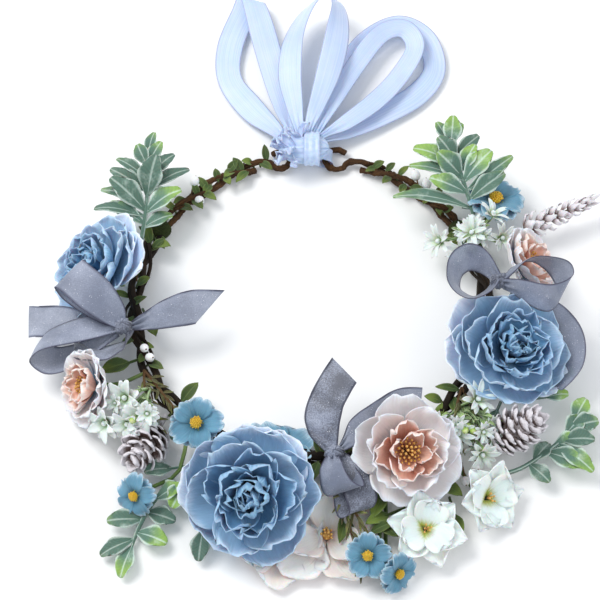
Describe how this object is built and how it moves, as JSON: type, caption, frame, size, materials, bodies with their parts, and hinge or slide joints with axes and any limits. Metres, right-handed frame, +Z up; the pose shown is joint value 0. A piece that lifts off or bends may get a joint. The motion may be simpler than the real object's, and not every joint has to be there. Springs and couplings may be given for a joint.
{
  "type": "flower crown",
  "caption": "Open vine ring with cloth flowers, leaves and pine cones round its front, tied at the back with a satin ribbon bow; worn on the head.",
  "frame": {"origin": "centre of the vine ring on the table plane it lies on", "axes": "+Z up through the ring, the open back with the satin bow towards +Y, the main flowers towards -Y, the wearer's left side of the picture towards -X"},
  "size_m": [0.2979, 0.3656, 0.0483],
  "materials": {
    "satin": "smooth pale blue satin ribbon with a soft sheen",
    "organza": "grey lavender sheer organza with fine sparkle and wired edges",
    "vine": "rough dark brown paper-wrapped vine",
    "floral_tape": "dull green wrapped floral tape",
    "blue_outer_cloth": "pale blue cloth with darker veins",
    "blue_middle_cloth": "mid blue cloth, paler at the edge",
    "blue_heart_cloth": "deep blue crumpled cloth",
    "cream_cloth": "cream pink cloth with a pale blue rim",
    "pink_cloth": "peach pink cloth",
    "stamen": "golden moulded stamens",
    "blush_cloth": "very pale pink cloth",
    "white_cloth": "white cloth with a yellow green throat",
    "teal_cloth": "teal blue cloth, paler at the edge",
    "yellow_centre": "yellow beaded centre",
    "frosted_cone": "brown cone scales with white frosted edges",
    "silver_leaf": "silver green moulded leaves with pale dusty edges",
    "white_spray": "white pointed flowers on green stems",
    "twig": "brown twig with frosted buds"
  },
  "bodies": {
    "front": {"front_vine_a": "vine", "front_vine_b": "vine", "left_tape": "floral_tape", "right_tape": "floral_tape", "front_peony_outer_petals": "blue_outer_cloth", "front_peony_middle_petals": "blue_middle_cloth", "front_peony_heart": "blue_heart_cloth", "front_camellia_outer_petals": "cream_cloth", "front_camellia_inner_petals": "pink_cloth", "front_camellia_stamens": "stamen", "right_peony_outer_petals": "blue_outer_cloth", "right_peony_middle_petals": "blue_middle_cloth", "right_peony_heart": "blue_heart_cloth", "right_camellia_outer_petals": "cream_cloth", "right_camellia_inner_petals": "pink_cloth", "right_camellia_stamens": "stamen", "left_peony_outer_petals": "blue_outer_cloth", "left_peony_middle_petals": "blue_middle_cloth", "left_peony_heart": "blue_heart_cloth", "left_camellia_outer_petals": "cream_cloth", "left_camellia_inner_petals": "pink_cloth", "left_camellia_stamens": "stamen", "blush_magnolia": "blush_cloth", "inner_lily": "white_cloth", "outer_lily": "white_cloth", "left_daisy_petals": "teal_cloth", "left_daisy_centre": "yellow_centre", "low_left_daisy_petals": "teal_cloth", "low_left_daisy_centre": "yellow_centre", "front_daisy_petals": "teal_cloth", "front_daisy_centre": "yellow_centre", "low_right_daisy": "teal_cloth", "top_right_daisy": "teal_cloth", "left_pine_cone": "frosted_cone", "right_pine_cone": "frosted_cone", "left_organza_bow": "organza", "front_organza_bow": "organza", "right_organza_bow": "organza", "lower_left_sprig": "silver_leaf", "rosemary_twig": "twig", "left_white_spray": "white_spray", "top_right_white_spray": "white_spray", "right_white_spray": "white_spray"},
    "left_arm": {"left_vine_a": "vine", "left_vine_b": "vine", "satin_knot": "satin", "satin_eye_band": "satin"},
    "right_arm": {"right_vine_a": "vine", "right_vine_b": "vine"},
    "bow": {"satin_left_loop": "satin", "satin_centre_loop": "satin", "satin_right_outer_loop": "satin", "satin_right_inner_loop": "satin"},
    "top_left_spray": {"top_left_sprig": "silver_leaf"},
    "top_right_spray": {"top_right_sprig": "silver_leaf"},
    "lower_right_spray": {"lower_right_sprig": "silver_leaf"},
    "heather": {"heather_twig": "twig"},
    "front_tail": {"front_organza_tail": "organza"},
    "left_tail": {"left_organza_tail": "organza"}
  },
  "joints": [
    {"name": "left_arm_flex", "type": "hinge", "parent": "front", "child": "left_arm", "pos_m": [-0.08054, 0.0465, 0.0057], "axis": [0, 0, 1], "range_deg": [0, 12], "deforming": ["satin_eye_band"]},
    {"name": "right_arm_flex", "type": "hinge", "parent": "front", "child": "right_arm", "pos_m": [0.08054, 0.0465, 0.0057], "axis": [0, 0, 1], "range_deg": [-12, 0]},
    {"name": "bow_lift", "type": "hinge", "parent": "left_arm", "child": "bow", "pos_m": [-0.003, 0.0945, 0.0124], "axis": [1, 0, 0], "range_deg": [0, 100]},
    {"name": "top_left_sprig_bend", "type": "hinge", "parent": "front", "child": "top_left_spray", "pos_m": [-0.09, 0.036, 0.014], "axis": [1, 0, 0], "range_deg": [-4, 25]},
    {"name": "top_right_sprig_bend", "type": "hinge", "parent": "front", "child": "top_right_spray", "pos_m": [0.088, 0.05, 0.016], "axis": [1, 0, 0], "range_deg": [-4, 25]},
    {"name": "lower_right_sprig_bend", "type": "hinge", "parent": "front", "child": "lower_right_spray", "pos_m": [0.092, -0.099, 0.0046], "axis": [0, -1, 0], "range_deg": [0, 12]},
    {"name": "heather_bend", "type": "hinge", "parent": "front", "child": "heather", "pos_m": [0.099, 0.0385, 0.01], "axis": [0.3419, -0.9397, 0], "range_deg": [-4, 18]},
    {"name": "front_tail_bend", "type": "hinge", "parent": "front", "child": "front_tail", "pos_m": [0.008, -0.087, 0.024], "axis": [1, 0, 0], "range_deg": [-15, 30]},
    {"name": "left_tail_bend", "type": "hinge", "parent": "front", "child": "left_tail", "pos_m": [-0.086, -0.02, 0.025], "axis": [0, -1, 0], "range_deg": [-12, 30]}
  ],
  "couplings": [
    {"joint": "right_arm_flex", "follows": "left_arm_flex", "ratio": -1}
  ]
}
